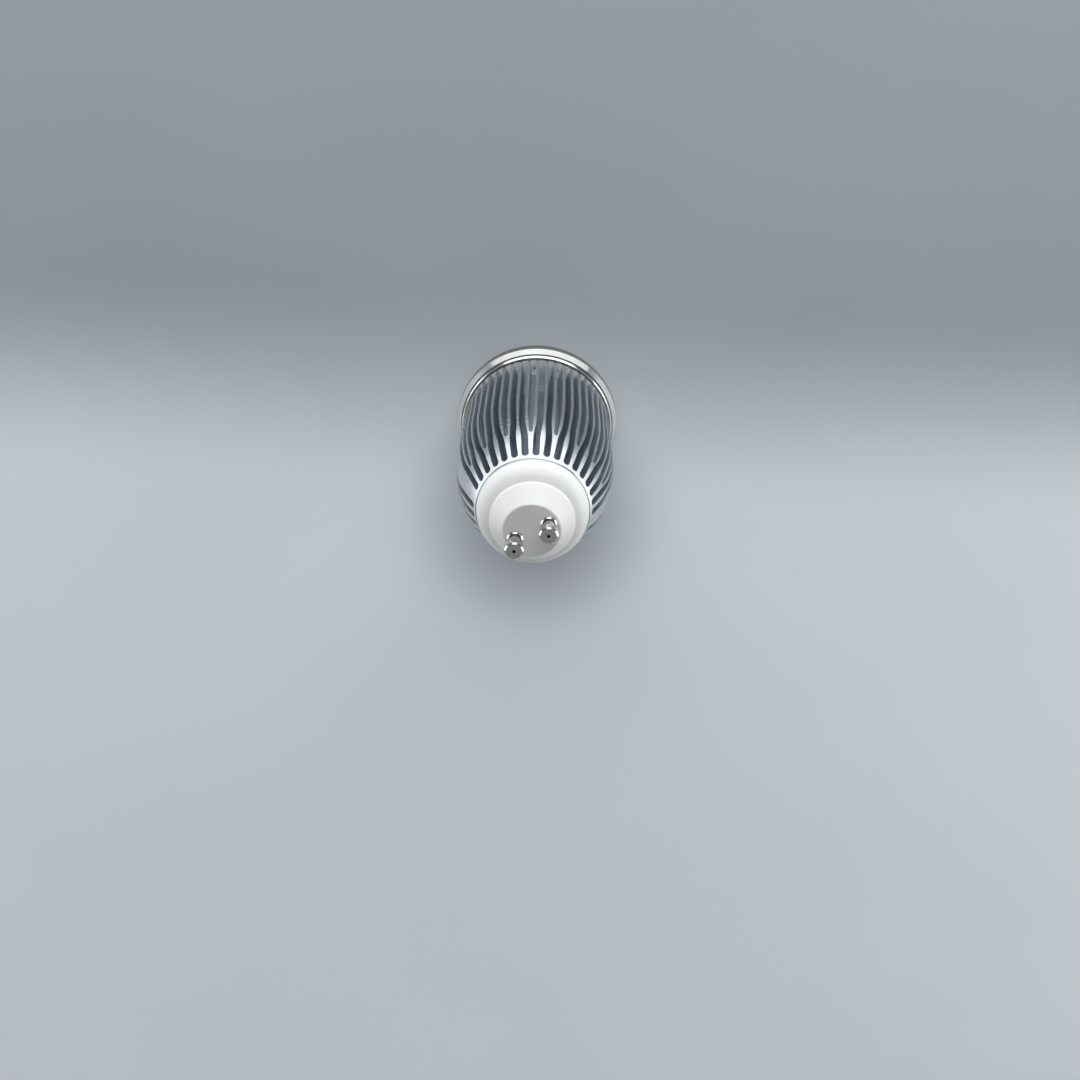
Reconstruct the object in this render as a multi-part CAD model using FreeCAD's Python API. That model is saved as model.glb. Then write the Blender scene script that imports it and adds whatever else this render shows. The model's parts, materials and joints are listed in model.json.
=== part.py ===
# A GU10 LED spotlight lamp, standing on its front rim with the contact pins up.
# The lamp's axis is Z, the flat face of the front rim lies at z = 0, and the pins stand on the X axis.
# Lengths are in millimetres and angles in degrees.

import FreeCAD, Part

import math
import os

from FreeCAD import Vector

# Front rim: a turned ring that clamps the cover lens onto the heat sink
rim_radius = 25.25
rim_overhang = 2.35
rim_band = 3.4
rim_bevel_drop = 1.2
rim_bevel_rise = 1.45
rim_back_rise = 0.2
rim_edge = 0.35
bezel_height = 6.2
bezel_neck_step = 0.7
bezel_tail_edge = 0.25
lip_thickness = 0.9
lip_overlap = 1.4
lip_bevel = 0.5

# Cover lens, reflector and light source behind the rim
lens_thickness = 1.5
lens_edge = 0.2
reflector_wall = 0.5
reflector_rim_width = 1.6
reflector_neck_height = 1.2
reflector_knee_reach = 3.5
reflector_knee_rise = 0.1
recess_depth = 4.9
recess_radius = 10.8
recess_wall_height = 3.4
recess_ledge = 1.6
pad_thickness = 0.2
led_board_thickness = 1.0
emitter_radius = 4.6
emitter_height = 0.7
emitter_dam_width = 0.7
emitter_fill_drop = 0.12

# Heat sink: barrel, dome, central tube and front plate
spigot_step = 0.7
sink_end = 62.45
dome_length = 29.0
nose_lip = 0.15
nose_edge = 0.1
flange_seat_depth = 0.4
core_bore = 10.9
core_wall = 2.0
core_plate = 2.8
front_land = 0.4

# Slots between the fins: long ones on an even grid, short ones inside the forked fins
slot_positions = 36
solid_position = 14
slot_width_base = 1.9
slot_width_front = 1.75
slot_end_gap = 0.8
slot_bend_gap = 5.3
slot_bend_length = 10.0
fork_end_gap = 8.7
fork_width_base = 1.2
fork_taper_length = 9.0
fork_depth = 4.6
fork_hole_radius = 0.55
fork_hole_depth = 1.2
fork_hole_inset = 2.7

# White plastic base with its inner sleeve
flange_radius = 15.35
flange_height = 5.6
boss_foot_radius = 11.5
boss_foot_height = 1.1
boss_top_radius = 7.7
boss_height = 5.9
boss_round = 0.6
base_end_wall = 2.3
base_inner_radius = 8.0
sleeve_wall = 1.2
rail_width = 4.4
rail_depth = 1.5
post_radius = 2.2
post_length = 7.0
post_inset = 1.4

# Contact pins
pin_spacing = 10.0
pin_height = 7.0
pin_head_radius = 2.5
pin_head_height = 2.5
pin_head_edge = 0.35
pin_neck_radius = 1.55
pin_collar_radius = 2.15
pin_collar_height = 0.8
pin_collar_edge = 0.3
pin_tail_length = 1.4
pin_dimple_radius = 0.42
pin_dimple_depth = 1.0

# Driver board and what stands on it
board_thickness = 1.2
board_offset = -2.5
board_post_gap = 1.2
board_side_gap = 0.1
row_margin = 0.6
row_gap = 1.0
output_cap_radius = 3.15
output_cap_length = 11.0
input_cap_radius = 4.0
input_cap_length = 11.5
cap_groove = 0.35
transformer_width = 10.0
transformer_height = 8.4
transformer_length = 9.6
transformer_leg = 2.2
choke_radius = 2.5
choke_height = 6.0
choke_waist = 0.5
choke_flange = 0.9
choke_x = -4.5
fuse_radius = 1.4
fuse_length = 6.5
fuse_cap_length = 1.3
fuse_waist = 0.2
fuse_x = 0.5
chip_size = (3.9, 1.5, 4.9)
rectifier_size = (4.0, 2.4, 4.8)

# Fasteners and wires
screw_radius = 1.0
screw_length = 3.6
screw_head_radius = 1.7
screw_head_height = 1.1
screw_head_round = 0.35
screw_recess_radius = 0.75
screw_recess_depth = 0.5
led_screw_inset = 2.6
base_screw_angle = 140.0
base_screw_length = 8.0
base_screw_head_radius = 1.9
wire_radius = 0.6
wire_hole_radius = 0.8
output_wire_inset = 2.5
output_wire_overlap = 4.0
input_wire_overlap = 3.0
input_wire_drop = 3.6

# Clearances
seat_clearance = 0.05
neck_clearance = 0.1
loose_clearance = 0.2
emitter_clearance = 0.4
cutter_reach = 3.0

# Stations along the axis
lens_front = lip_thickness
lens_back = lens_front + lens_thickness
spigot_front = lens_back + reflector_wall
seat_z = spigot_front + recess_depth
led_board_back = seat_z - pad_thickness
led_board_front = led_board_back - led_board_thickness
emitter_front = led_board_front - emitter_height
cavity_front = seat_z + core_plate
slot_front = bezel_height + front_land
slot_end = sink_end - slot_end_gap
dome_start = sink_end - dome_length
flange_seat = sink_end - flange_seat_depth
flange_top = sink_end + flange_height
base_face = flange_top + boss_height
base_inner_top = base_face - base_end_wall
pin_tip = base_face + pin_height
pin_tail = base_inner_top - pin_tail_length
sleeve_front = cavity_front + loose_clearance
board_front = sleeve_front + post_length + board_post_gap
output_cap_start = board_front + row_margin
transformer_start = output_cap_start + output_cap_length + row_gap
choke_start = transformer_start + transformer_length + row_gap
input_cap_start = choke_start + 2 * choke_radius + row_gap
board_back = input_cap_start + input_cap_length + row_margin

# Radii and places that follow from a fit
barrel_radius = rim_radius - rim_overhang
spigot_radius = barrel_radius - spigot_step
bezel_bore = spigot_radius + seat_clearance
bezel_neck_radius = barrel_radius + bezel_neck_step
lens_radius = bezel_bore - loose_clearance
lip_radius = lens_radius - lip_overlap
reflector_neck_radius = emitter_radius + emitter_clearance
led_board_radius = recess_radius - loose_clearance
led_screw_circle = recess_radius - led_screw_inset
nose_bore = flange_radius + loose_clearance
nose_radius = nose_bore + nose_lip
core_radius = core_bore + core_wall
sleeve_radius = core_bore - loose_clearance
sleeve_bore = sleeve_radius - sleeve_wall
base_screw_circle = sleeve_bore - post_inset
hole_radius = screw_radius + seat_clearance
board_top = board_offset + board_thickness / 2
board_under = board_offset - board_thickness / 2
groove_reach = math.sqrt(sleeve_bore ** 2 - (board_under - seat_clearance) ** 2)
board_half_width = groove_reach - board_side_gap
board_wire_y = board_top + seat_clearance + wire_radius
output_wire_x = board_half_width - output_wire_inset
pin_x = pin_spacing / 2

axis_point = Vector(0, 0, 0)
axis_up = Vector(0, 0, 1)


def line(a, b):
    """A straight edge between two (radius, z) pairs in the XZ plane."""
    return Part.LineSegment(Vector(a[0], 0, a[1]), Vector(b[0], 0, b[1])).toShape()


def outline(start, *steps):
    """A closed outline of (radius, z) pairs; a step of two pairs is an arc's middle and end."""
    edges = []
    here = start
    for step in (*steps, start):
        if isinstance(step[0], tuple):
            middle, end = step
            edges.append(Part.Arc(*(Vector(r, 0, z) for r, z in (here, middle, end))).toShape())
        else:
            end = step
            edges.append(line(here, end))
        here = end
    return Part.Wire(edges)


def turned(start, *steps):
    """A solid of revolution about the lamp's axis."""
    return Part.Face(outline(start, *steps)).revolve(axis_point, axis_up, 360)


def arc_middle(centre, radius, start_angle, end_angle):
    """The middle point of an arc given by its centre, radius and end angles."""
    middle = math.radians((start_angle + end_angle) / 2)
    return centre[0] + radius * math.cos(middle), centre[1] + radius * math.sin(middle)


def rod(radius, x, y, bottom, top):
    """A round rod parallel to the axis."""
    return Part.makeCylinder(radius, top - bottom, Vector(x, y, bottom))


def block(width, depth, height, x, y, bottom):
    """A block centred on x and y."""
    return Part.makeBox(width, depth, height, Vector(x - width / 2, y - depth / 2, bottom))


def spun(shape, angle):
    """A copy of a shape, turned about the lamp's axis."""
    copy = shape.copy()
    copy.rotate(axis_point, axis_up, angle)
    return copy


def base_screw_places():
    """X and Y of the two screws that hold the base."""
    angle = math.radians(base_screw_angle)
    x, y = base_screw_circle * math.cos(angle), base_screw_circle * math.sin(angle)
    return (x, y), (-x, -y)


def shoulder(start, end):
    """An outline's arc that leaves start straight along the axis and curves inwards to end."""
    drop, rise = start[0] - end[0], end[1] - start[1]
    radius = (drop ** 2 + rise ** 2) / (2 * drop)
    end_angle = math.degrees(math.atan2(rise, radius - drop))
    return arc_middle((start[0] - radius, start[1]), radius, 0, end_angle), end


def dome_steps():
    """The outer outline from the start of the dome to the nose, tangent to the barrel."""
    dome_foot = (barrel_radius, dome_start)
    nose = (nose_radius, sink_end - nose_edge)
    return dome_foot, shoulder(dome_foot, nose), (nose_radius - nose_edge, sink_end)


def sink_blank():
    """The casting before its slots: turned outside, light recess in front, flange seat and tube behind."""
    body = turned(
        (0, spigot_front),
        (spigot_radius, spigot_front),
        (spigot_radius, bezel_height),
        (barrel_radius, bezel_height),
        *dome_steps(),
        (nose_bore, sink_end),
        (nose_bore, flange_seat),
        (0, flange_seat),
    )
    light_recess = turned(
        (0, spigot_front),
        (spigot_radius - recess_ledge, spigot_front),
        (recess_radius, seat_z - recess_wall_height),
        (recess_radius, seat_z),
        (0, seat_z),
    )
    driver_tube = rod(core_bore, 0, 0, cavity_front, flange_seat)
    return body.cut([light_recess, driver_tube])


def slot_side(front, bend_front, bend_base, base):
    """One side of a slot as (offset, z) pairs: straight, an S-bend, straight."""
    places = [Vector(0, y, z) for y, z in (front, bend_front, bend_base, base)]
    middle = (bend_front[1] + bend_base[1]) / 2
    bend = Part.BezierCurve()
    bend.setPoles([places[1], Vector(0, bend_front[0], middle), Vector(0, bend_base[0], middle), places[2]])
    return [
        Part.LineSegment(places[0], places[1]).toShape(),
        bend.toShape(),
        Part.LineSegment(places[2], places[3]).toShape(),
    ]


def slot_cutter(shift, base_width, end, bend_base, bend_front, floor_radius):
    """Cuts a slot with a round end at the base, shifted sideways past its bend and square in front."""
    half_base, half_front = base_width / 2, slot_width_front / 2
    straight_end = end - half_base
    edges = []
    for sign in (-1, 1):
        front, base = shift + sign * half_front, sign * half_base
        edges += slot_side((front, slot_front), (front, bend_front), (base, bend_base), (base, straight_end))
    left, tip, right = ((-half_base, straight_end), (0, end), (half_base, straight_end))
    edges.append(Part.Arc(*(Vector(0, y, z) for y, z in (left, tip, right))).toShape())
    corners = (Vector(0, shift + sign * half_front, slot_front) for sign in (-1, 1))
    edges.append(Part.LineSegment(*corners).toShape())
    face = Part.Face(Part.Wire(Part.sortEdges(edges)[0]))
    face.translate(Vector(floor_radius, 0, 0))
    return face.extrude(Vector(barrel_radius + cutter_reach - floor_radius, 0, 0))


def long_slot(shift):
    """A slot from the nose to the rim, moving sideways by shift past the forks."""
    bend_base = sink_end - slot_bend_gap
    bend_front = bend_base - slot_bend_length
    return slot_cutter(shift, slot_width_base, slot_end, bend_base, bend_front, core_radius)


def fork_slot():
    """A shorter, shallower slot inside a forked fin, with a small blind hole in its front wall."""
    end = sink_end - fork_end_gap
    taper_start = end - fork_width_base
    floor = barrel_radius - fork_depth
    slot = slot_cutter(0, fork_width_base, end, taper_start, taper_start - fork_taper_length, floor)
    hole_x = barrel_radius - fork_hole_inset
    return slot.fuse(rod(fork_hole_radius, hole_x, 0, slot_front - fork_hole_depth, slot_front))


def slot_cutters():
    """A long slot at every place of the grid but two opposite ones, and a fork between each pair."""
    pitch = 360 / slot_positions
    front_pitch = 2 * pitch / 3
    shift = barrel_radius * math.tan(math.radians(front_pitch - pitch / 2))
    solid = (solid_position, solid_position + slot_positions // 2)
    cutters = []
    for position in range(slot_positions):
        if position in solid:
            continue
        fork_is_ahead = position % 2 == 0
        cutters.append(spun(long_slot(-shift if fork_is_ahead else shift), position * pitch))
        if fork_is_ahead and position + 1 not in solid:
            cutters.append(spun(fork_slot(), (position + 0.5) * pitch))
    return cutters


def sheet_holes(bottom, top):
    """Holes for the wires and the light source's screws through whatever lies between two heights."""
    holes = []
    for sign in (1, -1):
        holes.append(rod(wire_hole_radius, sign * output_wire_x, board_wire_y, bottom, top))
        holes.append(rod(hole_radius, 0, sign * led_screw_circle, bottom, top))
    return holes


def plate_holes():
    """Holes through the plate behind the light source for its screws, the wires and the base screws."""
    holes = sheet_holes(seat_z, cavity_front)
    depth = base_screw_head_radius - screw_radius
    head_room = base_screw_head_radius + seat_clearance
    for x, y in base_screw_places():
        holes.append(rod(hole_radius, x, y, seat_z, cavity_front))
        holes.append(Part.makeCone(head_room, hole_radius, depth, Vector(x, y, seat_z)))
    return holes


def heat_sink():
    return sink_blank().cut(slot_cutters() + plate_holes())


def front_bezel():
    """The rim: a flat front, a plain band, a long bevel with a steeper back, and a bore over the spigot."""
    bevel_end = rim_band + rim_bevel_rise
    return turned(
        (lip_radius + lip_bevel, 0),
        (rim_radius - rim_edge, 0),
        (rim_radius, rim_edge),
        (rim_radius, rim_band),
        (rim_radius - rim_bevel_drop, bevel_end),
        (bezel_neck_radius, bevel_end + rim_back_rise),
        (bezel_neck_radius, bezel_height - bezel_tail_edge),
        (bezel_neck_radius - bezel_tail_edge, bezel_height),
        (bezel_bore, bezel_height),
        (bezel_bore, lip_thickness),
        (lip_radius, lip_thickness),
        (lip_radius, lip_bevel),
    )


def cover_lens():
    """The clear cover, held between the rim's lip and the reflector."""
    return turned(
        (0, lens_front),
        (lens_radius - lens_edge, lens_front),
        (lens_radius, lens_front + lens_edge),
        (lens_radius, lens_back - lens_edge),
        (lens_radius - lens_edge, lens_back),
        (0, lens_back),
    )


def reflector():
    """A thin bright dish with a flat rim and a short neck round the light source."""
    neck_end = led_board_front - neck_clearance
    dish_start = neck_end - reflector_neck_height
    dish_edge = lens_radius - reflector_rim_width

    def dish(outward):
        neck = (reflector_neck_radius + outward, dish_start + outward / 2)
        knee_radius = reflector_neck_radius + reflector_knee_reach + outward
        knee = (knee_radius, lens_back + reflector_knee_rise + outward)
        edge = (dish_edge, lens_back + outward)
        curve = Part.BezierCurve()
        curve.setPoles([Vector(r, 0, z) for r, z in (neck, knee, edge)])
        return neck, curve.toShape(), edge

    bright_neck, bright_side, bright_edge = dish(0)
    back_neck, back_side, back_edge = dish(reflector_wall)
    neck_inside = (reflector_neck_radius, neck_end)
    neck_outside = (reflector_neck_radius + reflector_wall, neck_end)
    rim_front = (lens_radius, lens_back)
    rim_back = (lens_radius, lens_back + reflector_wall)
    section = Part.Wire([
        line(neck_inside, bright_neck),
        bright_side,
        line(bright_edge, rim_front),
        line(rim_front, rim_back),
        line(rim_back, back_edge),
        back_side,
        line(back_neck, neck_outside),
        line(neck_outside, neck_inside),
    ])
    return Part.Face(section).revolve(axis_point, axis_up, 360)


def thermal_pad():
    disc = rod(led_board_radius, 0, 0, led_board_back, seat_z)
    return disc.cut(sheet_holes(led_board_back, seat_z))


def led_board():
    """The round metal-core board with the white dam that rings the light source."""
    disc = rod(led_board_radius, 0, 0, led_board_front, led_board_back)
    dam = rod(emitter_radius, 0, 0, emitter_front, led_board_front)
    dam = dam.cut(rod(emitter_radius - emitter_dam_width, 0, 0, emitter_front, led_board_front))
    return disc.cut(sheet_holes(led_board_front, led_board_back)).fuse(dam).removeSplitter()


def led_emitter():
    """The yellow fill inside the dam."""
    fill_radius = emitter_radius - emitter_dam_width
    return rod(fill_radius, 0, 0, emitter_front + emitter_fill_drop, led_board_front)


def led_screws():
    """Two pan head screws through the light source's board."""
    crown = led_board_front - screw_head_height
    screws = []
    for sign in (1, -1):
        y = sign * led_screw_circle
        head = rod(screw_head_radius, 0, y, crown, led_board_front)
        crown_edges = [edge for edge in head.Edges if edge.BoundBox.ZMax < led_board_front - screw_head_round]
        head = head.makeFillet(screw_head_round, crown_edges)
        head = head.cut(rod(screw_recess_radius, 0, y, crown, crown + screw_recess_depth))
        shank = rod(screw_radius, 0, y, led_board_front, led_board_front + screw_length)
        screws.append(head.fuse(shank).removeSplitter())
    return Part.Compound(screws)


def base_screws():
    """Two countersunk screws through the plate into the sleeve's posts."""
    depth = base_screw_head_radius - screw_radius
    screws = []
    for x, y in base_screw_places():
        head = Part.makeCone(base_screw_head_radius, screw_radius, depth, Vector(x, y, seat_z))
        shank = rod(screw_radius, x, y, seat_z + depth, seat_z + base_screw_length)
        drive = rod(screw_recess_radius, x, y, seat_z, seat_z + screw_recess_depth)
        screws.append(head.fuse(shank).cut(drive).removeSplitter())
    return Part.Compound(screws)


def base_outer():
    """The sleeve, the rounded flange and the bevelled boss as one turned body."""
    flange_side = (flange_radius, sink_end)
    bevel = math.atan2(boss_height - boss_foot_height, boss_foot_radius - boss_top_radius)
    trim = boss_round * math.tan(bevel / 2)
    bevel_end = (boss_top_radius + trim * math.cos(bevel), base_face - trim * math.sin(bevel))
    boss_centre = (boss_top_radius - trim, base_face - boss_round)
    bevel_angle = 90 - math.degrees(bevel)
    return turned(
        (0, sleeve_front),
        (sleeve_radius, sleeve_front),
        (sleeve_radius, flange_seat),
        (flange_radius, flange_seat),
        flange_side,
        shoulder(flange_side, (boss_foot_radius, flange_top)),
        (boss_foot_radius, flange_top + boss_foot_height),
        bevel_end,
        (arc_middle(boss_centre, boss_round, bevel_angle, 90), (boss_centre[0], base_face)),
        (0, base_face),
    )


def base_hollow():
    """The room for the driver, narrowing inside the boss."""
    return turned(
        (0, sleeve_front),
        (sleeve_bore, sleeve_front),
        (sleeve_bore, flange_top),
        (base_inner_radius, base_inner_top),
        (0, base_inner_top),
    )


def board_rails():
    """Two grooved rails on the sleeve's wall that hold the driver board by its edges."""
    inner = groove_reach - rail_depth
    width = sleeve_radius - inner
    length = board_back - sleeve_front
    gap = board_thickness + 2 * seat_clearance
    groove = block(2 * groove_reach, gap, length, 0, board_offset, sleeve_front)
    rails = []
    for sign in (1, -1):
        rail = block(width, rail_width, length, sign * (inner + width / 2), board_offset, sleeve_front)
        rails.append(rail.cut(groove))
    return rails


def screw_posts():
    """Two posts on the sleeve's wall for the base screws."""
    post_end = sleeve_front + post_length
    return [rod(post_radius, x, y, sleeve_front, post_end) for x, y in base_screw_places()]


def base_housing():
    shell = base_outer().cut(base_hollow())
    wall_middle = rod(sleeve_radius - sleeve_wall / 2, 0, 0, sleeve_front, flange_top)
    ribs = [rib.common(wall_middle) for rib in board_rails() + screw_posts()]
    screw_end = seat_z + base_screw_length
    holes = [rod(screw_radius, x, y, sleeve_front, screw_end) for x, y in base_screw_places()]
    holes += [rod(pin_neck_radius, sign * pin_x, 0, base_inner_top, base_face) for sign in (1, -1)]
    return shell.fuse(ribs).removeSplitter().cut(holes)


def contact_pin(sign):
    """A turned pin: tail inside, collar on the base, neck, and a head with a dimple in its end."""
    head_start = pin_tip - pin_head_height
    collar_top = base_face + pin_collar_height
    head_flat = pin_head_radius - pin_head_edge
    pin = turned(
        (0, pin_tail),
        (pin_neck_radius, pin_tail),
        (pin_neck_radius, base_face),
        (pin_collar_radius, base_face),
        (pin_collar_radius, collar_top - pin_collar_edge),
        (pin_collar_radius - pin_collar_edge, collar_top),
        (pin_neck_radius, collar_top),
        (pin_neck_radius, head_start),
        (head_flat, head_start),
        (pin_head_radius, head_start + pin_head_edge),
        (pin_head_radius, pin_tip - pin_head_edge),
        (head_flat, pin_tip),
        (pin_dimple_radius, pin_tip),
        (pin_dimple_radius, pin_tip - pin_dimple_depth),
        (0, pin_tip - pin_dimple_depth),
    )
    pin.translate(Vector(sign * pin_x, 0, 0))
    return pin


def driver_board():
    length = board_back - board_front
    return block(2 * board_half_width, board_thickness, length, 0, board_offset, board_front)


def lying_capacitor(radius, start, length):
    """An electrolytic can lying on the board, with the crimp groove near one end."""
    end = start + length
    can = turned(
        (0, start),
        (radius - cap_groove, start),
        (radius, start + cap_groove),
        (radius, end - 4 * cap_groove),
        (radius - cap_groove, end - 3 * cap_groove),
        (radius, end - 2 * cap_groove),
        (radius, end - cap_groove),
        (radius - cap_groove, end),
        (0, end),
    )
    can.translate(Vector(0, board_top + seat_clearance + radius, 0))
    return can


def transformer_window(clearance):
    """The opening in the ferrite frame, or what fills it with a clearance all round."""
    shrink = 2 * (transformer_leg + clearance)
    return block(
        transformer_width - shrink,
        transformer_height,
        transformer_length - shrink,
        0,
        board_top + seat_clearance + transformer_height / 2,
        transformer_start + transformer_leg + clearance,
    )


def transformer_core():
    """The ferrite frame round the winding."""
    middle = board_top + seat_clearance + transformer_height / 2
    frame = block(transformer_width, transformer_height, transformer_length, 0, middle, transformer_start)
    return frame.cut(transformer_window(0))


def choke_coil():
    """A drum core standing on the board, waisted where its wire is wound."""
    bottom = board_top + seat_clearance
    top = bottom + choke_height
    waist = choke_radius - choke_waist
    coil = turned(
        (0, bottom),
        (choke_radius, bottom),
        (choke_radius, bottom + choke_flange),
        (waist, bottom + choke_flange),
        (waist, top - choke_flange),
        (choke_radius, top - choke_flange),
        (choke_radius, top),
        (0, top),
    )
    coil.rotate(axis_point, Vector(1, 0, 0), -90)
    coil.translate(Vector(choke_x, 0, choke_start + choke_radius))
    return coil


def fuse_resistor():
    """An axial resistor lying across the board beside the choke, waisted between its end caps."""
    waist = fuse_radius - fuse_waist
    body = turned(
        (0, 0),
        (fuse_radius, 0),
        (fuse_radius, fuse_cap_length),
        (waist, fuse_cap_length + fuse_waist),
        (waist, fuse_length - fuse_cap_length - fuse_waist),
        (fuse_radius, fuse_length - fuse_cap_length),
        (fuse_radius, fuse_length),
        (0, fuse_length),
    )
    body.rotate(axis_point, Vector(0, 1, 0), 90)
    body.translate(Vector(fuse_x, board_top + seat_clearance + fuse_radius, choke_start + choke_radius))
    return body


def underside_package(size, middle):
    """A small moulded package on the board's underside."""
    width, height, length = size
    y = board_under - seat_clearance - height / 2
    return block(width, height, length, 0, y, middle - length / 2)


def output_lead(sign):
    """A straight wire from the driver board to the front of the light source's board."""
    front_end = led_board_front - wire_radius
    back_end = board_front + output_wire_overlap
    return rod(wire_radius, sign * output_wire_x, board_wire_y, front_end, back_end)


def rounded_path(points):
    """Straight runs joined by tangent arcs, each as large as its two runs allow."""
    edges = []
    here = points[0]
    for before, corner, after in zip(points, points[1:], points[2:]):
        into = (corner - before).normalize()
        out = (after - corner).normalize()
        half_turn = into.getAngle(out) / 2
        trim = 0.45 * min(corner.distanceToPoint(before), corner.distanceToPoint(after))
        radius = trim / math.tan(half_turn)
        bulge = (out - into).normalize() * (radius / math.cos(half_turn) - radius)
        start, end = corner - into * trim, corner + out * trim
        edges.append(Part.LineSegment(here, start).toShape())
        edges.append(Part.Arc(start, corner + bulge, end).toShape())
        here = end
    edges.append(Part.LineSegment(here, points[-1]).toShape())
    return Part.Wire(edges)


def input_lead(sign):
    """A wire from a pin's tail, bending over to lie on the driver board."""
    x = sign * pin_x
    path = rounded_path([
        Vector(x, 0, pin_tail),
        Vector(x, 0, pin_tail - input_wire_drop),
        Vector(x, board_wire_y, board_back + seat_clearance),
        Vector(x, board_wire_y, board_back - input_wire_overlap),
    ])
    section = Part.Wire(Part.makeCircle(wire_radius, Vector(x, 0, pin_tail), axis_up))
    return path.makePipeShell([section], True, False)


def all_parts():
    """Every piece of the lamp by its name."""
    return {
        "heat_sink": heat_sink(),
        "front_bezel": front_bezel(),
        "cover_lens": cover_lens(),
        "reflector": reflector(),
        "thermal_pad": thermal_pad(),
        "led_board": led_board(),
        "led_emitter": led_emitter(),
        "led_screws": led_screws(),
        "base_housing": base_housing(),
        "base_screws": base_screws(),
        "contact_pin_a": contact_pin(1),
        "contact_pin_b": contact_pin(-1),
        "driver_board": driver_board(),
        "output_capacitor": lying_capacitor(output_cap_radius, output_cap_start, output_cap_length),
        "transformer_core": transformer_core(),
        "transformer_winding": transformer_window(seat_clearance),
        "choke_coil": choke_coil(),
        "fuse_resistor": fuse_resistor(),
        "input_capacitor": lying_capacitor(input_cap_radius, input_cap_start, input_cap_length),
        "driver_chip": underside_package(chip_size, transformer_start + transformer_length / 2),
        "bridge_rectifier": underside_package(rectifier_size, input_cap_start + input_cap_length / 2),
        "output_lead_a": output_lead(1),
        "output_lead_b": output_lead(-1),
        "input_lead_a": input_lead(1),
        "input_lead_b": input_lead(-1),
    }


os.makedirs("parts", exist_ok=True)
for name, shape in all_parts().items():
    shape.exportStep(f"parts/{name}.step")
    print(name, "valid" if shape.isValid() else "NOT VALID", len(shape.Solids), round(shape.Volume, 1))
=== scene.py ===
import json
import math

import bpy
from mathutils import Matrix, Vector

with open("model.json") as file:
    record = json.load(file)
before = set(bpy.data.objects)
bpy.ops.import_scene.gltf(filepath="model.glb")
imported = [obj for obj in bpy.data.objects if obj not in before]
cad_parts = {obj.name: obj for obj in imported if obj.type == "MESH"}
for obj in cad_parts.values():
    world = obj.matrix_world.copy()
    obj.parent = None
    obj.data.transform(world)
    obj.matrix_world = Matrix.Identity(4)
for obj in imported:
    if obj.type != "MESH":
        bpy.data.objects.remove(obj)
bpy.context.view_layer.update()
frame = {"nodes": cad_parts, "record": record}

scene = bpy.context.scene
scene.view_settings.view_transform = "Standard"


def rgb(red, green, blue):
    return (red, green, blue, 1.0)


MM = 0.001
UP = Vector((0, 0, 1))

# Camera: above the pins, with the photograph's view of the lamp
CAMERA_PLACE = Vector((67.2, 118.2, 322.4)) * MM
CAMERA_FORWARD = Vector((-0.2338, -0.4273, -0.8733))
CAMERA_UP = Vector((0.3893, 0.7819, -0.4868))
CAMERA_SENSOR = 36.0
CAMERA_LENS = 36.07
CAMERA_NEAR = 0.01
CAMERA_FAR = 20

# The side that the main light comes from, and the side to the camera's left
KEY_SIDE = Vector((0.494, 0.8695, 0))
LEFT_SIDE = UP.cross(KEY_SIDE)

# Floor: a pale disc with painted shade on the main light's side of the lamp, and pale again further out
FLOOR_RADIUS = 3.0
FLOOR_CORNERS = 96
FLOOR_PALE = rgb(0.72, 0.775, 0.83)
FLOOR_DARK = rgb(0.47, 0.52, 0.57)
FLOOR_GRAIN = 0.1
SHADE_START = -0.03
SHADE_FULL = 0.045
SHADE_SHARE = 0.9
SHADE_FADE = 0.3
SHADE_END = 0.5

# How much paler than its own light the floor is shown, fading out where the lamp's shadow falls
LIFT_COLOUR = rgb(0.90, 0.97, 1.0)
LIFT_STRENGTH = 0.23
LIFT_START = 0.01
LIFT_FULL = 0.055
SHADOW_PLACE = KEY_SIDE * -0.035

# World: grey at the horizon, darker overhead
HORIZON = rgb(0.29, 0.31, 0.33)
ZENITH = rgb(0.09, 0.094, 0.098)
ZENITH_HEIGHT = 0.8

# Soft panels: name, place and facing as shares of KEY_SIDE, LEFT_SIDE and UP, top, width, height, radiance
PANELS = (
    ("key_low", (0.45, 0, 0.065), (-1, 0, 0), UP, 1.1, 0.09, 0.9),
    ("key_high", (0.45, 0, 0.21), (-1, 0, 0), UP, 0.7, 0.2, 2.6),
    ("key_top", (0.5, 0, 0.42), (-0.5, 0, -0.36), UP, 0.4, 0.16, 2.0),
    ("right_wall", (0, -0.6, 0.17), (0, 1, 0), UP, 0.6, 0.2, 3.5),
    ("left_wall", (0, 0.6, 0.17), (0, -1, 0), UP, 0.6, 0.2, 2.4),
    ("far_wall", (-0.7, 0, 0.22), (1, 0, 0), UP, 0.9, 0.36, 0.55),
    ("overhead", (-0.42, 0, 0.9), (0, 0, -1), KEY_SIDE, 0.5, 0.3, 0.2),
    ("low_key", (0.31, 0, 0.002), (0, 0, 1), KEY_SIDE, 0.8, 0.4, 1.6),
    ("low_right", (0, -0.27, 0.002), (0, 0, 1), KEY_SIDE, 0.3, 0.2, 1.4),
    ("low_left", (0, 0.27, 0.002), (0, 0, 1), KEY_SIDE, 0.3, 0.2, 1.4),
)

# Outline of the heat sink, which tells its turned skin from its slots
BARREL_RADIUS = 22.9 * MM
DOME_START = 33.45 * MM
DOME_RADIUS = 61.6 * MM
SLOT_FRONT = 6.6 * MM

# Depths below that outline at which the skin ends, the walls start and the walls turn darker with painted
# shade
SKIN_END = 0.05 * MM
WALL_START = 0.35 * MM
DEEP_SHADE_START = 0.3 * MM
DEEP_SHADE_FULL = 4.0 * MM

# Heights above SLOT_FRONT over which the front wall's finish and painted light end and the side walls'
# painted light fades
FRONT_FADE = 0.05 * MM
FRONT_END = 0.4 * MM
PAINTED_LIGHT_FADE = 0.5 * MM
PAINTED_LIGHT_END = 5.0 * MM
PAINTED_LIGHT_SHARE = 0.3

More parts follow.
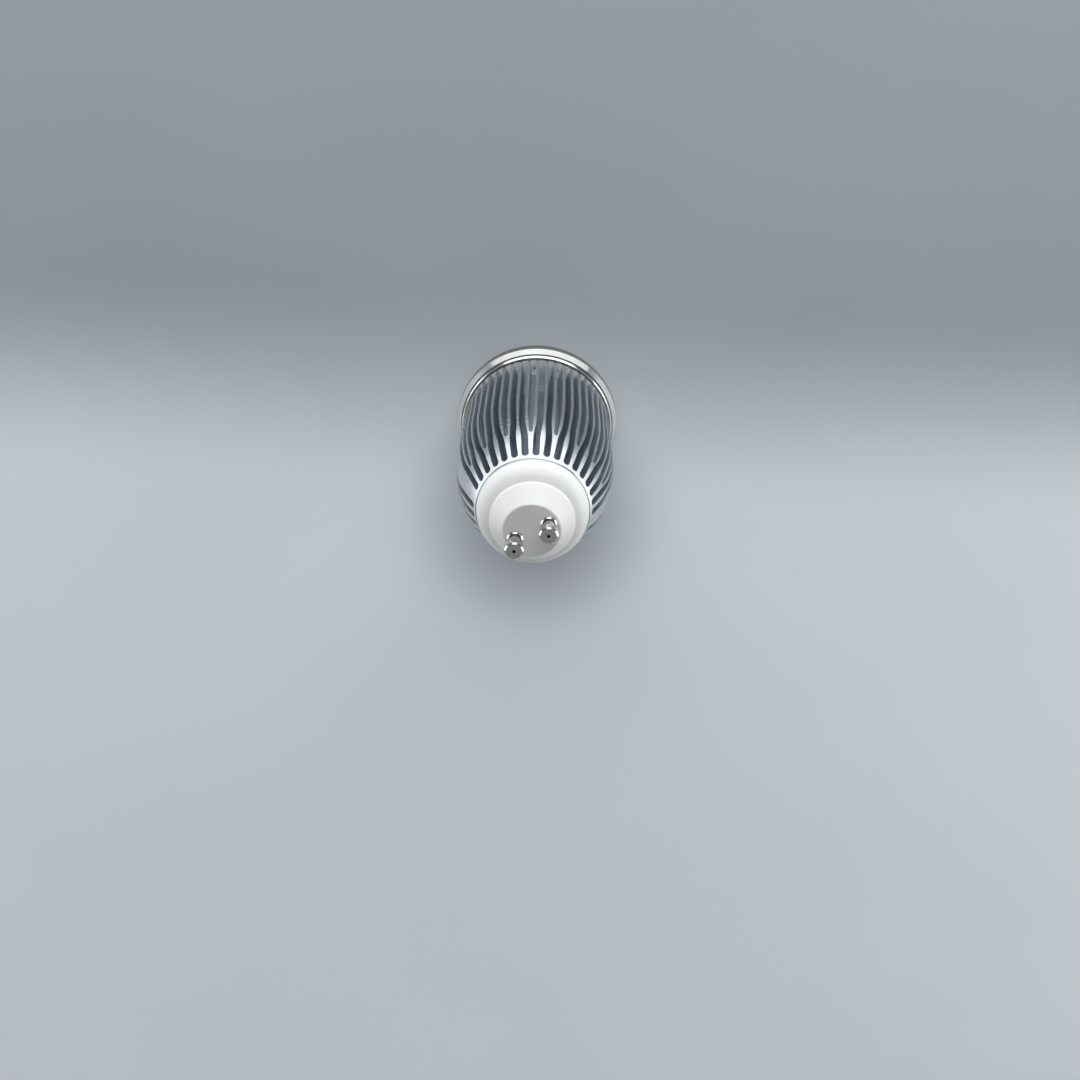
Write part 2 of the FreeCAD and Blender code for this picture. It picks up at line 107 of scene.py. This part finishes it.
# Colours of the heat sink
SKIN_DARK = rgb(0.54, 0.565, 0.59)
SKIN_LIGHT = rgb(0.61, 0.635, 0.655)
WALL_SHALLOW = rgb(0.82, 0.86, 0.89)
# Painted shade: the slot walls darker the deeper they lie
WALL_DEEP_SHADE = rgb(0.64, 0.70, 0.76)
WALL_GRAIN = rgb(0.50, 0.55, 0.61)
# Painted light in the slots: paler side walls near the front, and a paler front wall
WALL_PAINTED_LIGHT = rgb(0.88, 0.91, 0.93)
FRONT_WALL_PAINTED_LIGHT = rgb(0.92, 0.94, 0.95)
FRONT_WALL_DULL = 0.85

# Front rim
RIM_BAND = 3.4 * MM
RIM_BAND_EDGE = 0.1 * MM
RIM_DARK = rgb(0.61, 0.62, 0.61)
RIM_LIGHT = rgb(0.75, 0.75, 0.74)
# Painted shade: the satin band painted dark
RIM_BAND_SHADE = rgb(0.38, 0.375, 0.33)

# White base
PLASTIC_DARK = rgb(0.86, 0.875, 0.845)
PLASTIC_LIGHT = rgb(0.91, 0.92, 0.895)

# Contact pins
PIN_OFFSET = 5.0 * MM
DIMPLE_RADIUS = 0.42 * MM
DIMPLE_EDGE = 1.15 * DIMPLE_RADIUS
PIN_DARK = rgb(0.52, 0.515, 0.50)
PIN_LIGHT = rgb(0.70, 0.69, 0.67)
# Painted shade: the dimple painted near-black
DIMPLE_SHADE = rgb(0.02, 0.02, 0.02)

# Places along Y between which a capacitor's pale stripe begins
STRIPE_START = 2.6 * MM
STRIPE_FULL = 2.8 * MM

# Noise textures, and the range that most of their values lie in
NOISE_ROUGHNESS = 0.55
NOISE_LOW = 0.3
NOISE_HIGH = 0.7

# Simple finishes: two close tones, grain scale, range of roughness and relief in mm
PLAIN_FINISHES = {
    "grey_pad": dict(
        dark=(0.13, 0.135, 0.14), light=(0.20, 0.205, 0.21), scale=900, rough=(0.6, 0.75), relief=0.03),
    "white_metal_board": dict(
        dark=(0.78, 0.78, 0.76), light=(0.86, 0.86, 0.84), scale=500, rough=(0.3, 0.42), relief=0.01),
    "steel_screw": dict(
        dark=(0.42, 0.42, 0.43), light=(0.60, 0.60, 0.61), scale=1200, rough=(0.25, 0.4), relief=0.02,
        metallic=1.0),
    "ferrite": dict(
        dark=(0.02, 0.02, 0.022), light=(0.05, 0.05, 0.053), scale=1500, rough=(0.5, 0.7), relief=0.05),
    "yellow_tape": dict(
        dark=(0.62, 0.42, 0.03), light=(0.78, 0.56, 0.06), scale=400, rough=(0.2, 0.32), relief=0.02),
    "black_package": dict(
        dark=(0.012, 0.012, 0.013), light=(0.028, 0.028, 0.03), scale=2000, rough=(0.45, 0.6), relief=0.02),
    "red_wire": dict(
        dark=(0.36, 0.012, 0.012), light=(0.48, 0.03, 0.025), scale=800, rough=(0.28, 0.4), relief=0.01),
    "black_wire": dict(
        dark=(0.012, 0.012, 0.012), light=(0.03, 0.03, 0.03), scale=800, rough=(0.28, 0.4), relief=0.01),
    "white_wire": dict(
        dark=(0.70, 0.70, 0.67), light=(0.80, 0.80, 0.77), scale=800, rough=(0.28, 0.4), relief=0.01),
}


def look_along(obj, place, forward, up):
    """Puts a camera or lamp at a place, looking along forward with its top towards up."""
    back = -forward.normalized()
    right = up.cross(back).normalized()
    top = back.cross(right)
    turn = Matrix((right, top, back)).transposed().to_4x4()
    obj.matrix_world = Matrix.Translation(place) @ turn


def make_camera():
    data = bpy.data.cameras.new("camera")
    data.sensor_width = CAMERA_SENSOR
    data.lens = CAMERA_LENS
    data.clip_start = CAMERA_NEAR
    data.clip_end = CAMERA_FAR
    camera = bpy.data.objects.new("camera", data)
    scene.collection.objects.link(camera)
    look_along(camera, CAMERA_PLACE, CAMERA_FORWARD, CAMERA_UP)
    scene.camera = camera


class Graph:
    """Makes and joins the nodes of one material or world."""

    def __init__(self, tree):
        self.tree = tree

    def add(self, kind, inputs=None, **settings):
        made = self.tree.nodes.new(kind)
        for key, value in settings.items():
            setattr(made, key, value)
        for key, value in (inputs or {}).items():
            if isinstance(value, bpy.types.NodeSocket):
                self.tree.links.new(value, made.inputs[key])
            else:
                made.inputs[key].default_value = value
        return made

    def math(self, operation, a, b=0.0):
        return self.add("ShaderNodeMath", {0: a, 1: b}, operation=operation).outputs[0]

    def vector_math(self, operation, a, *b):
        inputs = dict(enumerate((a, *b)))
        return self.add("ShaderNodeVectorMath", inputs, operation=operation).outputs

    def ramp(self, value, low, high, out_low=0.0, out_high=1.0):
        """A smooth step from out_low at low to out_high at high."""
        inputs = {"Value": value, "From Min": low, "From Max": high, "To Min": out_low, "To Max": out_high}
        return self.add("ShaderNodeMapRange", inputs, interpolation_type="SMOOTHSTEP").outputs[0]

    def spread(self, noise, low, high):
        """A noise's usual range brought to the range from low to high."""
        return self.ramp(noise, NOISE_LOW, NOISE_HIGH, low, high)

    def mix(self, share, first, second):
        """A colour between two colours; 6, 7 and 2 are the node's colour sockets."""
        return self.add("ShaderNodeMix", {0: share, 6: first, 7: second}, data_type="RGBA").outputs[2]

    def place(self):
        return self.add("ShaderNodeTexCoord").outputs["Object"]

    def parts(self, vector):
        return self.add("ShaderNodeSeparateXYZ", {0: vector}).outputs

    def noise(self, vector, scale, detail=3.0):
        inputs = {"Vector": vector, "Scale": scale, "Detail": detail, "Roughness": NOISE_ROUGHNESS}
        return self.add("ShaderNodeTexNoise", inputs).outputs["Fac"]

    def cells(self, vector, scale):
        return self.add("ShaderNodeTexVoronoi", {"Vector": vector, "Scale": scale}).outputs["Distance"]

    def stretched(self, vector, x, y, z):
        return self.vector_math("MULTIPLY", vector, (x, y, z))[0]

    def length(self, vector):
        return self.vector_math("LENGTH", vector)["Value"]

    def bump(self, height, distance, normal=None):
        inputs = {"Height": height, "Distance": distance, "Strength": 1.0}
        if normal is not None:
            inputs["Normal"] = normal
        return self.add("ShaderNodeBump", inputs).outputs["Normal"]


def new_material(name, **constants):
    """A material with its shader, constants set on the shader's own sockets."""
    material = bpy.data.materials.new(name)
    material.use_nodes = True
    shader = material.node_tree.nodes["Principled BSDF"]
    for key, value in constants.items():
        shader.inputs[key].default_value = value
    return material, Graph(material.node_tree), shader


def join(graph, shader, **sockets):
    names = {"colour": "Base Color", "roughness": "Roughness", "normal": "Normal", "metallic": "Metallic"}
    for key, value in sockets.items():
        graph.tree.links.new(value, shader.inputs[names[key]])


def radius_and_height(graph, place):
    """Distance from the lamp's axis, and height above its front rim."""
    height = graph.parts(place)["Z"]
    radius = graph.length(graph.stretched(place, 1, 1, 0))
    return radius, height


def turned_aluminium():
    """Bright lathe-turned skin, and rougher as-cast walls and floors in the slots, painted darker as shade
    deeper in and painted paler as light near the front wall.
    """
    material, graph, shader = new_material("turned_aluminium")
    place = graph.place()
    radius, height = radius_and_height(graph, place)
    rise = graph.math("MAXIMUM", graph.math("SUBTRACT", height, DOME_START), 0.0)
    fall = graph.math("SUBTRACT", DOME_RADIUS ** 2, graph.math("MULTIPLY", rise, rise))
    skin = graph.math("ADD", graph.math("SQRT", fall), BARREL_RADIUS - DOME_RADIUS)
    depth = graph.math("SUBTRACT", skin, radius)
    inside = graph.ramp(depth, SKIN_END, WALL_START)
    deep_shade = graph.ramp(depth, DEEP_SHADE_START, DEEP_SHADE_FULL)
    # Painted light near the slots' front: the front wall and the side walls close to it shown paler; the
    # front wall is also less metallic
    front_wall_finish_and_light = graph.ramp(height, SLOT_FRONT + FRONT_FADE, SLOT_FRONT + FRONT_END, 1.0, 0.0)
    paler = graph.ramp(height, SLOT_FRONT + PAINTED_LIGHT_FADE, SLOT_FRONT + PAINTED_LIGHT_END, PAINTED_LIGHT_SHARE, 0.0)

    lathe = graph.noise(graph.stretched(place, 60, 60, 7000), scale=1.0, detail=2.0)
    patches = graph.noise(place, scale=180, detail=4.0)
    grain = graph.noise(place, scale=2600)

    skin_colour = graph.mix(patches, SKIN_DARK, SKIN_LIGHT)
    # Painted shade: the slot walls darker with depth
    wall_colour = graph.mix(deep_shade, WALL_SHALLOW, WALL_DEEP_SHADE)
    wall_colour = graph.mix(grain, WALL_GRAIN, wall_colour)
    wall_colour = graph.mix(paler, wall_colour, WALL_PAINTED_LIGHT)
    wall_colour = graph.mix(front_wall_finish_and_light, wall_colour, FRONT_WALL_PAINTED_LIGHT)
    colour = graph.mix(inside, skin_colour, wall_colour)

    skin_rough = graph.spread(lathe, 0.20, 0.34)
    wall_rough = graph.spread(grain, 0.34, 0.5)
    rough_span = graph.math("SUBTRACT", wall_rough, skin_rough)
    roughness = graph.math("ADD", skin_rough, graph.math("MULTIPLY", rough_span, inside))

    skin_bump = graph.bump(lathe, distance=0.006 * MM)
    normal = graph.bump(graph.math("MULTIPLY", grain, inside), distance=0.06 * MM, normal=skin_bump)
    dull = graph.math("MULTIPLY", graph.math("MULTIPLY", front_wall_finish_and_light, inside), FRONT_WALL_DULL)
    metallic = graph.math("SUBTRACT", 1.0, dull)
    join(graph, shader, colour=colour, roughness=roughness, normal=normal, metallic=metallic)
    return material


def polished_aluminium():
    """The rim's satin band, painted darker as shade, and bright turned bevel, with faint smudges."""
    material, graph, shader = new_material("polished_aluminium", Metallic=1.0)
    place = graph.place()
    radius, height = radius_and_height(graph, place)
    across = graph.add("ShaderNodeCombineXYZ", {"X": radius, "Y": 0.0, "Z": height}).outputs[0]
    rings = graph.noise(across, scale=5200, detail=2.0)
    smudge = graph.noise(place, scale=130, detail=4.0)
    # The satin band is rougher, and painted dark as shade
    satin = graph.ramp(height, RIM_BAND - RIM_BAND_EDGE, RIM_BAND, 1.0, 0.0)
    bright = graph.mix(smudge, RIM_DARK, RIM_LIGHT)
    colour = graph.mix(satin, bright, RIM_BAND_SHADE)
    smudge_rough = graph.ramp(smudge, 0.35, 0.7, 0.12, 0.2)
    gloss = graph.math("ADD", smudge_rough, graph.math("MULTIPLY", rings, 0.06))
    roughness = graph.math("ADD", gloss, graph.math("MULTIPLY", satin, 0.08))
    normal = graph.bump(rings, distance=0.003 * MM)
    join(graph, shader, colour=colour, roughness=roughness, normal=normal)
    return material


def white_plastic():
    """Moulded white plastic with a fine satin grain and a trace of flow marks."""
    constants = {"Subsurface Weight": 0.12, "Subsurface Scale": 0.0012, "Specular IOR Level": 0.45}
    material, graph, shader = new_material("white_plastic", **constants)
    place = graph.place()
    grain = graph.noise(place, scale=3400)
    flow = graph.noise(graph.stretched(place, 1, 1, 0.35), scale=140)
    colour = graph.mix(flow, PLASTIC_DARK, PLASTIC_LIGHT)
    roughness = graph.spread(grain, 0.30, 0.44)
    normal = graph.bump(grain, distance=0.008 * MM)
    join(graph, shader, colour=colour, roughness=roughness, normal=normal)
    return material


def plated_pin():
    """Nickel over turned brass, with ring marks, a few dull patches and a dimple painted dark as shade."""
    material, graph, shader = new_material("plated_pin", Metallic=1.0)
    place = graph.place()
    rings = graph.noise(graph.stretched(place, 150, 150, 9000), scale=1.0, detail=2.0)
    dull = graph.noise(place, scale=900, detail=4.0)
    parts = graph.parts(place)
    across = graph.math("SUBTRACT", graph.math("ABSOLUTE", parts["X"]), PIN_OFFSET)
    offset = graph.add("ShaderNodeCombineXYZ", {"X": across, "Y": parts["Y"]}).outputs[0]
    # Painted shade inside each pin's dimple
    dimple = graph.ramp(graph.length(offset), DIMPLE_RADIUS, DIMPLE_EDGE, 1.0, 0.0)
    plate = graph.mix(dull, PIN_DARK, PIN_LIGHT)
    colour = graph.mix(dimple, plate, DIMPLE_SHADE)
    roughness = graph.spread(dull, 0.08, 0.18)
    normal = graph.bump(rings, distance=0.003 * MM)
    join(graph, shader, colour=colour, roughness=roughness, normal=normal)
    return material


def clear_cover():
    """Clear moulded cover with a slight haze."""
    constants = {"Transmission Weight": 1.0, "IOR": 1.49, "Base Color": rgb(0.97, 0.985, 0.98)}
    material, graph, shader = new_material("clear_cover", **constants)
    haze = graph.noise(graph.place(), scale=420, detail=4.0)
    join(graph, shader, roughness=graph.ramp(haze, 0.35, 0.8, 0.015, 0.07))
    return material


def bright_dish():
    """Metallised dish with small facets."""
    material, graph, shader = new_material("bright_dish", Metallic=1.0)
    place = graph.place()
    facets = graph.cells(place, scale=720)
    film = graph.noise(place, scale=300)
    colour = graph.mix(film, rgb(0.84, 0.84, 0.83), rgb(0.93, 0.93, 0.92))
    roughness = graph.spread(film, 0.08, 0.18)
    normal = graph.bump(facets, distance=0.12 * MM)
    join(graph, shader, colour=colour, roughness=roughness, normal=normal)
    return material


def green_board():
    """Solder mask over a fine weave and a grid of tracks."""
    material, graph, shader = new_material("green_board")
    place = graph.place()
    pattern = {
        "Vector": place,
        "Scale": 420.0,
        "Mortar Size": 0.03,
        "Mortar Smooth": 0.2,
        "Color1": rgb(0, 0, 0),
        "Color2": rgb(0.25, 0.25, 0.25),
        "Mortar": rgb(1, 1, 1),
    }
    tracks = graph.add("ShaderNodeTexBrick", pattern).outputs["Color"]
    weave = graph.noise(place, scale=2200, detail=2.0)
    mask = graph.mix(weave, rgb(0.015, 0.10, 0.035), rgb(0.03, 0.16, 0.06))
    colour = graph.mix(tracks, mask, rgb(0.05, 0.27, 0.10))
    roughness = graph.spread(weave, 0.3, 0.45)
    normal = graph.bump(tracks, distance=0.03 * MM)
    join(graph, shader, colour=colour, roughness=roughness, normal=normal)
    return material


def capacitor_sleeve():
    """Shrunk plastic sleeve with a pale stripe along one side."""
    material, graph, shader = new_material("capacitor_sleeve")
    place = graph.place()
    stripe = graph.ramp(graph.parts(place)["Y"], STRIPE_START, STRIPE_FULL)
    film = graph.noise(place, scale=700, detail=4.0)
    body = graph.mix(film, rgb(0.012, 0.022, 0.07), rgb(0.03, 0.05, 0.13))
    colour = graph.mix(stripe, body, rgb(0.55, 0.57, 0.62))
    roughness = graph.spread(film, 0.22, 0.36)
    normal = graph.bump(film, distance=0.02 * MM)
    join(graph, shader, colour=colour, roughness=roughness, normal=normal)
    return material


def resistor_body():
    """Lacquered body with coloured rings."""
    material, graph, shader = new_material("resistor_body")
    place = graph.place()
    pattern = {"Vector": place, "Scale": 190.0, "Distortion": 0.4, "Detail": 1.0}
    wave = graph.add("ShaderNodeTexWave", pattern, bands_direction="X").outputs["Fac"]
    lacquer = graph.noise(place, scale=900)
    body = graph.mix(lacquer, rgb(0.09, 0.24, 0.28), rgb(0.14, 0.32, 0.36))
    rings = graph.ramp(wave, 0.8, 0.9)
    colour = graph.mix(rings, body, rgb(0.35, 0.08, 0.04))
    roughness = graph.spread(lacquer, 0.2, 0.32)
    normal = graph.bump(lacquer, distance=0.02 * MM)
    join(graph, shader, colour=colour, roughness=roughness, normal=normal)
    return material


def yellow_phosphor():
    """Silicone filled with yellow phosphor over small dies."""
    material, graph, shader = new_material("yellow_phosphor")
    place = graph.place()
    dies = graph.cells(place, scale=1100)
    grain = graph.noise(place, scale=3000, detail=2.0)
    tone = graph.mix(graph.ramp(dies, 0.1, 0.5), rgb(0.62, 0.40, 0.03), rgb(0.85, 0.60, 0.08))
    colour = graph.mix(graph.math("MULTIPLY", grain, 0.4), tone, rgb(0.92, 0.72, 0.16))
    roughness = graph.spread(grain, 0.25, 0.4)
    normal = graph.bump(dies, distance=0.03 * MM)
    join(graph, shader, colour=colour, roughness=roughness, normal=normal)
    return material


def plain_finish(name, dark, light, scale, rough, relief, metallic=0.0):
    """A moulded, coated or cast finish: two close tones, uneven gloss and a fine relief."""
    material, graph, shader = new_material(name, Metallic=metallic)
    place = graph.place()
    tone = graph.noise(place, scale=scale, detail=4.0)
    fine = graph.noise(place, scale=scale * 6)
    colour = graph.mix(tone, rgb(*dark), rgb(*light))
    roughness = graph.spread(fine, *rough)
    normal = graph.bump(fine, distance=relief * MM)
    join(graph, shader, colour=colour, roughness=roughness, normal=normal)
    return material


def make_materials():
    """One material for each slot of the record."""
    made = {
        "turned_aluminium": turned_aluminium(),
        "polished_aluminium": polished_aluminium(),
        "clear_cover": clear_cover(),
        "bright_dish": bright_dish(),
        "white_plastic": white_plastic(),
        "plated_pin": plated_pin(),
        "green_board": green_board(),
        "capacitor_sleeve": capacitor_sleeve(),
        "resistor_body": resistor_body(),
        "yellow_phosphor": yellow_phosphor(),
    }
    for name, finish in PLAIN_FINISHES.items():
        made[name] = plain_finish(name, **finish)
    return made


def dress_nodes():
    """Gives each solid the finish of its slot."""
    made = make_materials()
    for row in frame["record"]["subparts"]:
        mesh = frame["nodes"][row["node"]].data
        mesh.materials.clear()
        mesh.materials.append(made[row["material_slot"]])


def make_floor():
    bpy.ops.mesh.primitive_circle_add(
        vertices=FLOOR_CORNERS, radius=FLOOR_RADIUS, fill_type="NGON", location=(0, 0, 0))
    floor = bpy.context.object
    floor.name = "floor"
    material, graph, shader = new_material("floor", **{"Roughness": 0.55, "Specular IOR Level": 0.3})
    place = graph.place()

    # Painted shade: the floor darker on the main light's side near the lamp, fading out further away, with
    # a faint grain
    along = graph.vector_math("DOT_PRODUCT", place, KEY_SIDE)["Value"]
    rise = graph.ramp(along, SHADE_START, SHADE_FULL, 0.0, SHADE_SHARE)
    fade = graph.ramp(graph.length(place), SHADE_FADE, SHADE_END, 1.0, 0.0)
    grain = graph.math("MULTIPLY", graph.noise(place, scale=9), FLOOR_GRAIN)
    shade = graph.math("ADD", graph.math("MULTIPLY", rise, fade), grain)
    join(graph, shader, colour=graph.mix(shade, FLOOR_PALE, FLOOR_DARK))

    path = graph.add("ShaderNodeLightPath").outputs
    seen = graph.math("MAXIMUM", path["Is Camera Ray"], path["Is Glossy Ray"])
    seen = graph.math("MAXIMUM", seen, path["Is Transmission Ray"])
    from_shadow = graph.vector_math("DISTANCE", place, SHADOW_PLACE)["Value"]
    lift = graph.ramp(from_shadow, LIFT_START, LIFT_FULL, 0.0, LIFT_STRENGTH)
    pale = graph.math("MULTIPLY", graph.math("SUBTRACT", 1.0, shade), lift)
    shader.inputs["Emission Color"].default_value = LIFT_COLOUR
    graph.tree.links.new(graph.math("MULTIPLY", seen, pale), shader.inputs["Emission Strength"])
    floor.data.materials.append(material)


def make_world():
    world = bpy.data.worlds.new("studio")
    scene.world = world
    world.use_nodes = True
    graph = Graph(world.node_tree)
    direction = graph.add("ShaderNodeTexCoord").outputs["Generated"]
    height = graph.parts(direction)["Z"]
    sky = graph.mix(graph.ramp(height, 0.0, ZENITH_HEIGHT), HORIZON, ZENITH)
    world.node_tree.links.new(sky, world.node_tree.nodes["Background"].inputs["Color"])


def along_sides(shares):
    """A vector from its shares of KEY_SIDE, LEFT_SIDE and UP."""
    key, left, up = shares
    return KEY_SIDE * key + LEFT_SIDE * left + UP * up


def make_lights():
    """Panels round the lamp and low ones that face up; a radiance of 1 would show as plain white."""
    for name, place, facing, top, width, height, radiance in PANELS:
        data = bpy.data.lights.new(name, "AREA")
        data.shape = "RECTANGLE"
        data.size = width
        data.size_y = height
        data.energy = radiance * math.pi * width * height
        lamp = bpy.data.objects.new(name, data)
        scene.collection.objects.link(lamp)
        lamp.visible_camera = False
        look_along(lamp, along_sides(place), along_sides(facing), top)


make_camera()
dress_nodes()
make_floor()
make_world()
make_lights()
